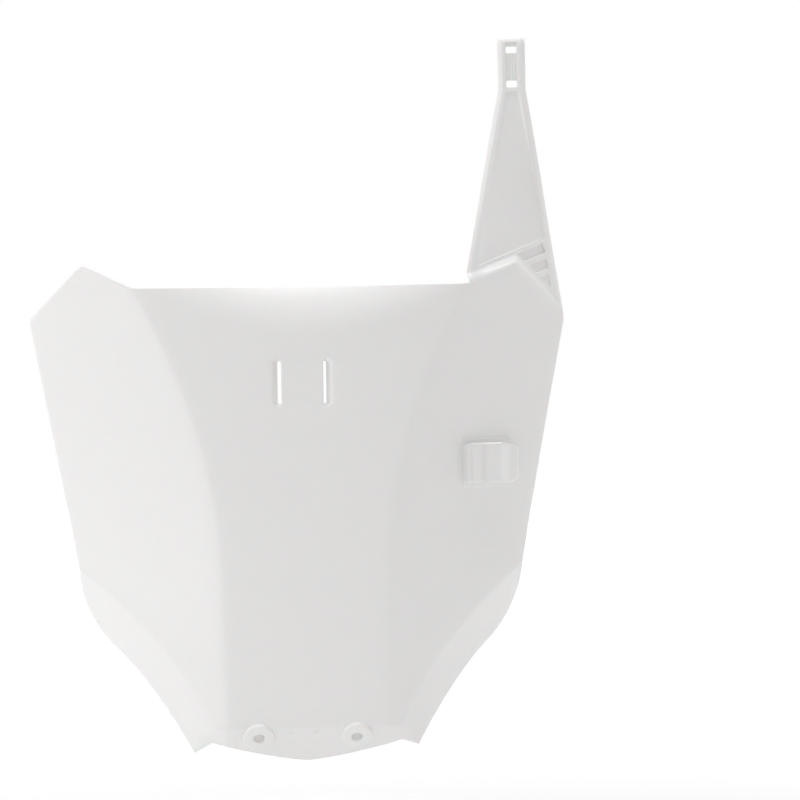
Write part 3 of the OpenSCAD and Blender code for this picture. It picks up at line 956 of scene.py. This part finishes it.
wing_run = (face_y(GUIDE_X + PROBE, GUIDE_Z) - face_y(GUIDE_X - PROBE, GUIDE_Z)) / (2 * PROBE)
wing_rise = (face_y(GUIDE_X, GUIDE_Z + PROBE) - face_y(GUIDE_X, GUIDE_Z - PROBE)) / (2 * PROBE)
GUIDE_ALONG = Vector((1, wing_run, 0)).normalized()
GUIDE_UP = Vector((0, wing_rise, 1)).normalized()
GUIDE_OUT = GUIDE_ALONG.cross(GUIDE_UP)
GUIDE_CENTRE = Vector((GUIDE_X, face_y(GUIDE_X, GUIDE_Z), GUIDE_Z))
# The pad looks square from the front, so it is a little longer along the sloping wing
PAD_W = PAD_H / GUIDE_ALONG.x


def on_wing(a, b, c):
    """Places a point at the guide: along the wing, up it and out from it."""
    return GUIDE_CENTRE + GUIDE_ALONG * a + GUIDE_UP * b + GUIDE_OUT * c


def corners_of(width, height, r):
    """Pins for an upright rectangle about its middle."""
    w, h = width / 2 - r, height / 2 - r
    return [(-w, h), (w, h), (w, -h), (-w, -h)]


boss_layers = [
    (-COLLAR_L, COLLAR_R - BOSS_R, 0), (-BOSS_BACK - 0.1, COLLAR_R - BOSS_R, 0), (-BOSS_BACK, 0, 0),
    (0.35 * BOSS_H, 0, 0), (0.7 * BOSS_H, -0.12, 0), (0.92 * BOSS_H, -0.45, 0),
    (BOSS_H, -1.0, 0), (BOSS_H, -3.5, 0),
]
pad_layers = [
    (-0.7 * WALL, 0, 0), (0.4 * PAD_RISE, 0, 0), (0.85 * PAD_RISE, -0.15, 0), (PAD_RISE, -0.5, 0),
    (PAD_RISE, -1.3, 0),
]
combine(board, [
    strung("boss", [(0, 0)], BOSS_R, boss_layers, at_screw(-1)),
    strung("boss", [(0, 0)], BOSS_R, boss_layers, at_screw(1)),
    strung("pad", corners_of(PAD_W, PAD_H, PAD_R), PAD_R, pad_layers, on_wing),
], "UNION")

# %% [markdown]
# A recess in the arm follows the arm's twisted face, so the long panel is cut with a block
# whose floor is a grid on that face. The block is a grid that is extruded once: its first
# layer becomes the floor and its second the open top, which is wider, so the walls slope.
# %% The arm's long panel
PANEL_TOP = ((100.6, 300.9), (105.4, 300.9))
PANEL_FOOT = ((84.3, 219.1), (117.2, 232.6))
PANEL_DEPTH = 0.8
PANEL_WALL = 0.7
PANEL_COLUMNS = 8
PANEL_ROWS = 44
PANEL_CLEAR = 0.5
PANEL_EDGE = 0.4
PANEL_EDGE_ANGLE = math.radians(35)


def shaped_block(name, columns, rows, point):
    """A grid extruded once, each point moved to point(column, row, layer) in millimetres."""
    bpy.ops.object.select_all(action="DESELECT")
    bpy.ops.mesh.primitive_grid_add(x_subdivisions=columns, y_subdivisions=rows, size=1)
    block = bpy.context.object
    block.name = name
    edit(lambda: bpy.ops.mesh.extrude_region_move(TRANSFORM_OT_translate={"value": (0, 0, 1)}))
    for vertex in block.data.vertices:
        column = round((vertex.co.x + 0.5) * columns)
        index = round((0.5 - vertex.co.y) * rows)
        vertex.co = Vector(point(column, index, round(vertex.co.z))) * MM
    edit(lambda: bpy.ops.mesh.normals_make_consistent(inside=False))
    return block


def panel_at(column, index, layer):
    """A point of the panel's floor, layer 0, or of its wider open top, layer 1."""
    spread = layer * PANEL_WALL * (1 + PANEL_CLEAR / PANEL_DEPTH)
    u, v = column / PANEL_COLUMNS, index / PANEL_ROWS
    top = lerp2(PANEL_TOP[0], PANEL_TOP[1], u)
    foot = lerp2(PANEL_FOOT[0], PANEL_FOOT[1], u)
    x, z = lerp2(top, foot, v)
    x += spread * (2 * u - 1)
    z += spread * (1 - 2 * v)
    return (x, arm_y(x, z) + (PANEL_DEPTH, -PANEL_CLEAR)[layer], z)


panel = shaped_block("panel", PANEL_COLUMNS, PANEL_ROWS, panel_at)
apply_modifier(
    panel, "BEVEL", limit_method="ANGLE", angle_limit=PANEL_EDGE_ANGLE, width=PANEL_EDGE * MM,
    segments=2,
)
cuts = [panel]
print(f"panel {PANEL_DEPTH} mm deep")

# %% [markdown]
# Three pockets save weight between the panel and the arm's outer flank. They are strung round
# pins like the bosses, with walls that slope out towards the face. The lowest one is small,
# and so it is shallow too.
# %% The pockets beside the panel
CLEAR = 3.0
POCKETS = (
    ((104.4, 224.7), (116.2, 229.2), (117.5, 225.1), (106.9, 221.0)),
    ((109.7, 219.0), (117.8, 221.8), (118.8, 217.7), (112.8, 215.5)),
    ((114.8, 213.2), (119.0, 214.5), (119.9, 207.9)),
)
POCKET_DEPTHS = (1.5, 1.3, 0.85)
POCKET_R = 0.6


def on_arm(x, z, c):
    """Places a point out from the arm's face."""
    return (x, arm_y(x, z) - c, z)


def pocket_layers(depth):
    """A pocket's walls, which slope out most near the face."""
    return [(-depth, 0, 0), (-0.4, 0.3, 0), (-0.12, 0.5, 0), (0, 0.75, 0), (CLEAR, 0.75, 0)]


cuts += [
    strung("pocket", inset(corners, POCKET_R), POCKET_R, pocket_layers(depth), on_arm)
    for corners, depth in zip(POCKETS, POCKET_DEPTHS)
]
print(f"{len(POCKETS)} pockets")

# %% [markdown]
# The strap slots in the face are open along their inner side and slope back from their outer
# side, which leads the strap in. Each is a band round two pins, and the layers behind the
# face are narrower and lie further inwards.
# %% The strap slots
SLOT_R = SLOT_W / 2
# The open part of each slot: half its width less the slot's own, and how far inwards it lies
SLOT_OPEN = {-1: (-1.05, 1.0), 1: (-1.25, 1.15)}
slot_pins = [(0, SLOT_L / 2 - SLOT_R), (0, SLOT_R - SLOT_L / 2)]


def at_slot(side):
    """Places a point at a slot: towards the middle of the face, up it and out from it."""
    def place(a, b, c):
        x, z = side * (SLOT_PITCH / 2 - a), SLOT_Z + b
        return (x, face_y(x, z) - c, z)
    return place


def slot_layers(side):
    """A slot's walls: narrow at the back, then as wide as its mouth, then flared."""
    shrink, inwards = SLOT_OPEN[side]
    return [
        (-WALL - CLEAR, shrink, inwards), (-WALL, shrink, inwards), (-0.55, -0.04, 0.05),
        (-0.2, 0.12, 0.05), (0, 0.5, 0.15), (CLEAR, 0.5, 0.15),
    ]


cuts += [strung("slot", slot_pins, SLOT_R, slot_layers(side), at_slot(side)) for side in (-1, 1)]
print(f"slots {SLOT_PITCH} mm apart")

# %% [markdown]
# The screw holes go right through their bosses and are flared at the mouth. The two small
# round marks between the bosses are shallow, as the pins leave them that push a part out of
# its mould. The window lies under the hook: the mould needs it to shape the hook's inside.
# %% Screw holes, mould marks and the guide's window
SCREW_R = 2.65
HOLE_BACK = 8.0
MARK_R = 1.25
MARKS = (-7.5, 3.8)
MARK_UP = 3.9
HOOK_H = 18.6
WINDOW_R = 1.5
WINDOW_RIM = WALL * 1.4
WINDOW_GAP = 0.1
WINDOW_BACK = 6.0
# Each form is straight at the back and opens a little at its mouth
hole_layers = [(-HOLE_BACK, 0, 0), (0.5, 0, 0), (0.75, 0.15, 0), (0.92, 0.5, 0), (CLEAR, 0.5, 0)]
mark_layers = [(-0.15, 0, 0), (0.05, 0.12, 0), (CLEAR, 0.12, 0)]
window_layers = [(-WINDOW_BACK, 0, 0), (CLEAR, 0, 0)]
window = corners_of(PAD_W - 2 * WINDOW_RIM, HOOK_H - WINDOW_GAP, WINDOW_R)

cuts += [strung("hole", [(0, 0)], SCREW_R, hole_layers, at_screw(side)) for side in (-1, 1)]
cuts += [
    strung("mark", [(x + SCREW_PITCH / 2, MARK_UP)], MARK_R, mark_layers, at_screw(-1)) for x in MARKS
]
cuts.append(strung("window", window, WINDOW_R, window_layers, on_wing))
print(f"screw holes {SCREW_PITCH} mm apart")

# %% [markdown]
# The eye at the arm's end is a narrow recess with an open slot at each end, for a strap that
# goes round the bar between them. Fine ribs along the recess's floor grip the strap. The
# recess is cut together with everything above, and its two slots follow, because forms that
# touch each other can't be cut in one go.
# %% The eye at the arm's end, and the cutting
EYE_W = 5.3
EYE_LOW = 303.3
EYE_HIGH = 324.6
EYE_SLOPE = 0.4
EYE_SLOT_L = 3.1
EYE_SLOT_INSET = 2.1
EYE_SLOT_HIGH = EYE_HIGH - EYE_SLOT_INSET - EYE_SLOT_L
EYE_BACK = 8.0
EYE_COLUMNS = 36
EYE_ROWS = 4
RIB_H = 0.35
RIB_STEP = 1.35
RIBBED_SHARE = 0.8
eye_slot_layers = [(-EYE_BACK, 0, 0), (CLEAR, 0, 0)]


def eye_at(column, index, layer):
    """The eye's recess, with its ribs as waves of its floor."""
    u, v = 2 * column / EYE_COLUMNS - 1, 1 - index / EYE_ROWS
    x = ARM_X + u * (EYE_W / 2 + layer * PANEL_WALL)
    z = lerp(EYE_LOW - layer * EYE_SLOPE, EYE_HIGH + layer * EYE_SLOPE, v)
    wave = max(0.0, math.cos(2 * math.pi * u * EYE_W / 2 / RIB_STEP))
    rib = RIB_H * wave if abs(u) < RIBBED_SHARE else 0
    return (x, arm_y(x, z) + (PANEL_DEPTH - rib, -PANEL_CLEAR)[layer], z)


def eye_slot(low):
    """One open slot of the eye, from its lower end."""
    outline = [
        (ARM_X - EYE_W / 2, low + EYE_SLOT_L), (ARM_X + EYE_W / 2, low + EYE_SLOT_L),
        (ARM_X + EYE_W / 2, low), (ARM_X - EYE_W / 2, low),
    ]
    return strung("eye_slot", inset(outline, POCKET_R), POCKET_R, eye_slot_layers, on_arm)


cuts.append(shaped_block("eye", EYE_COLUMNS, EYE_ROWS, eye_at))
combine(board, cuts, "DIFFERENCE")
combine(board, [eye_slot(EYE_LOW), eye_slot(EYE_SLOT_HIGH)], "DIFFERENCE")

# %% [markdown]
# The hook holds the brake hose against the wing. Its root is a wall on the pad's inner side,
# and from there a thin tongue runs outwards over the hose: a low ridge, a valley, a step up
# to the crown, and a dip before its free end. All its edges are rounded, and the corners of
# its free end are cut off.
# %% The hose hook
HOOK_T = 2.0
HOOK_REACH = 29.0
HOOK_CUT = 1.5
HOOK_CUT_L = 4.3
ROOT_LOW = -1.3
ROOT_TOP = 3.8
# Along the wing and out from it, in millimetres
HOOK_KNOTS = (
    (1.0, 4.9), (1.9, 4.5), (3.0, 5.3), (9.2, 4.5), (11.6, 7.0), (16.0, 7.2), (23.9, 5.8),
    (HOOK_REACH, 6.3),
)
HOOK_EDGE_R = 1.4
HOOK_EDGE_DROP = 1.1
HOOK_CLUSTER = 1.25
ROOT_EDGE_SHARE = 0.6
INNER_DROP = 1.6
INNER_START = HOOK_T * 1.1
HOOK_FINISH = 0.25
HOOK_FINISH_ANGLE = math.radians(50)
EDGE_STEPS = 5
ROOT_COLUMNS = 4
TURN_COLUMNS = 4
WAVE_COLUMNS = 56
MIDDLE_ROWS = 6
HOOK_ROWS = 2 * EDGE_STEPS + MIDDLE_ROWS


def hook_wave(u):
    """How far out the hook's outer face lies, along the wing."""
    for (a, c), (b, d) in zip(HOOK_KNOTS, HOOK_KNOTS[1:]):
        if u <= b:
            return lerp(c, d, smooth((u - a) / (b - a)))
    return HOOK_KNOTS[-1][1]


ROOT_INNER = (HOOK_T, ROOT_TOP - INNER_DROP)
WAVE_INNER = (INNER_START, hook_wave(INNER_START) - HOOK_T)


def hook_line(column):
    """A point of the hook's outer face and the one inside it, as (along, out) pairs."""
    if column <= ROOT_COLUMNS:
        t = column / ROOT_COLUMNS
        return (0, lerp(ROOT_LOW, ROOT_TOP, t)), lerp2((HOOK_T, ROOT_LOW), ROOT_INNER, t)
    column -= ROOT_COLUMNS
    if column <= TURN_COLUMNS:
        angle = math.pi / 2 * column / TURN_COLUMNS
        along = HOOK_KNOTS[0][0] * (1 - math.cos(angle))
        out = lerp(ROOT_TOP, HOOK_KNOTS[0][1], math.sin(angle))
        return (along, out), lerp2(ROOT_INNER, WAVE_INNER, column / TURN_COLUMNS)
    t = 1 - (1 - (column - TURN_COLUMNS) / WAVE_COLUMNS) ** HOOK_CLUSTER
    along = lerp(HOOK_KNOTS[0][0], HOOK_REACH, t)
    inner = lerp(WAVE_INNER[0], HOOK_REACH, t)
    return (along, hook_wave(along)), (inner, hook_wave(inner) - HOOK_T)


def edge_drop(distance):
    """How far a rounded edge has fallen at a distance from the edge."""
    t = min(1.0, distance / HOOK_EDGE_R)
    return HOOK_EDGE_DROP * (1 - math.sqrt(1 - (1 - t) ** 2))


def hook_at(column, index, layer):
    """A point of the hook: the outer face is layer 0, and its edges are rounded."""
    outer, inner = hook_line(column)
    along, out = inner if layer else outer
    half = HOOK_H / 2 - HOOK_CUT * max(0.0, 1 - (HOOK_REACH - along) / HOOK_CUT_L)
    edge = min(index, HOOK_ROWS - index)
    if edge <= EDGE_STEPS:
        inside = HOOK_EDGE_R * (1 - math.cos(math.pi / 2 * edge / EDGE_STEPS))
        up = half - inside
    else:
        inside = HOOK_EDGE_R
        up = (half - inside) * (HOOK_ROWS / 2 - edge) / (HOOK_ROWS / 2 - EDGE_STEPS)
    if index > HOOK_ROWS / 2:
        up = -up
    if layer == 0:
        fall = edge_drop(inside) + edge_drop(HOOK_REACH - along)
        if column > ROOT_COLUMNS:
            out -= min(HOOK_EDGE_DROP, fall)
        else:
            along += fall * ROOT_EDGE_SHARE
    return on_wing(along - PAD_W / 2, up, out)


hook = shaped_block("hook", ROOT_COLUMNS + TURN_COLUMNS + WAVE_COLUMNS, HOOK_ROWS, hook_at)
apply_modifier(
    hook, "BEVEL", limit_method="ANGLE", angle_limit=HOOK_FINISH_ANGLE, width=HOOK_FINISH * MM,
    segments=2,
)

combine(board, [hook], "UNION")

# %% [markdown]
# A sheet with a thickness still has two sharp edges all round its rim. They are rounded last,
# because the Boolean steps before want faces that don't overlap, and a rounded rim can
# overlap itself where it bends sharply. At the very start of the lip it stays sharp.
# %% The rounded rim
RIM_R = 0.55
RIM_ANGLE = math.radians(55)
RIM_SKIP = 2.5
RIM_SEGMENTS = 3


def on_rim(edge):
    """True for a sharp edge that was there before the small features came."""
    if not all(vertex.co.to_tuple(6) in rim_points for vertex in edge.verts):
        return False
    middle = (edge.verts[0].co + edge.verts[1].co) / 2 / MM
    start = math.dist((abs(middle.x), middle.z), LIP_START)
    return len(edge.link_faces) == 2 and edge.calc_face_angle() > RIM_ANGLE and start > RIM_SKIP


def select_rim():
    """Selects the rim's edges, in edit mode."""
    bpy.ops.mesh.select_all(action="DESELECT")
    bpy.ops.mesh.select_mode(type="EDGE")
    sheet = bmesh.from_edit_mesh(board.data)
    for edge in sheet.edges:
        edge.select = on_rim(edge)
    sheet.select_flush_mode()
    bmesh.update_edit_mesh(board.data)


select_only(board)
edit(
    select_rim,
    lambda: bpy.ops.mesh.bevel(
        offset=RIM_R * MM, segments=RIM_SEGMENTS, affect="EDGES", clamp_overlap=False,
    ),
)
print(f"rounded rim: {len(board.data.polygons)} faces")

# %% [markdown]
# Polypropylene is a slightly translucent, waxy plastic with a satin gloss off a polished
# mould. The gloss is never perfect: a slow ripple from the cooling shows in the reflections,
# and it changes a little how rough the surface is. The real grain of the skin is finer than
# a tenth of a millimetre, so it is drawn coarser here, as coarse as it needs to be to show.
# %% White polypropylene
RIPPLE_MM = 14.0
RIPPLE_DEEP_MM = 0.25
RIPPLE_STRENGTH = 0.12
GRAIN_MM = 0.9
GRAIN_DEEP_MM = 0.02
GRAIN_STRENGTH = 0.08
ROUGH_LOW = 0.29
ROUGH_HIGH = 0.34
SMOOTH_ANGLE = math.radians(40)


def white_polypropylene():
    """Moulded satin polypropylene, a clean white that lets a little light in under its skin."""
    material, tree = new_material("white_polypropylene")
    place = add_node(tree, "ShaderNodeTexCoord").outputs["Object"]
    ripple = add_node(
        tree, "ShaderNodeTexNoise", {"Scale": 1 / (RIPPLE_MM * MM), "Detail": 1.0}, {"Vector": place},
    )
    grain = add_node(
        tree, "ShaderNodeTexNoise", {"Scale": 1 / (GRAIN_MM * MM), "Detail": 3.0}, {"Vector": place},
    )
    gloss = add_node(
        tree, "ShaderNodeMapRange",
        {"From Min": 0.3, "From Max": 0.7, "To Min": ROUGH_LOW, "To Max": ROUGH_HIGH},
        {"Value": ripple.outputs[0]},
    )
    wave = add_node(
        tree, "ShaderNodeBump", {"Strength": RIPPLE_STRENGTH, "Distance": RIPPLE_DEEP_MM * MM},
        {"Height": ripple.outputs[0]},
    )
    skin = add_node(
        tree, "ShaderNodeBump", {"Strength": GRAIN_STRENGTH, "Distance": GRAIN_DEEP_MM * MM},
        {"Height": grain.outputs[0], "Normal": wave.outputs[0]},
    )
    plastic = add_node(
        tree, "ShaderNodeBsdfPrincipled",
        {
            "Base Color": linear("#f0f0ef"), "IOR": 1.49, "Subsurface Weight": 0.15,
            "Subsurface Scale": 2.0 * MM,
        },
        {"Roughness": gloss.outputs[0], "Normal": skin.outputs[0]},
    )
    add_node(tree, "ShaderNodeOutputMaterial", links={"Surface": plastic.outputs[0]})
    return material


board.data.materials.clear()
board.data.materials.append(white_polypropylene())
select_only(board)
bpy.ops.object.shade_smooth_by_angle(angle=SMOOTH_ANGLE)
print("white polypropylene on the board")

# %% [markdown]
# Last, the piece is tied to the frame: it rides on the root body, stands for the CAD node and
# takes its finish from the record's slot.
# %% Ties to the frame
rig.ride(board, "root")
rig.replaces(board, "number_board")
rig.slot(board, "white_polypropylene")
with open("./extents.json", "w") as size_file:
    json.dump(
        {"cad": [list(corner) for corner in cad_box], "visual": [list(corner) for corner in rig.bounds()]},
        size_file,
    )
print(json.load(open("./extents.json")))
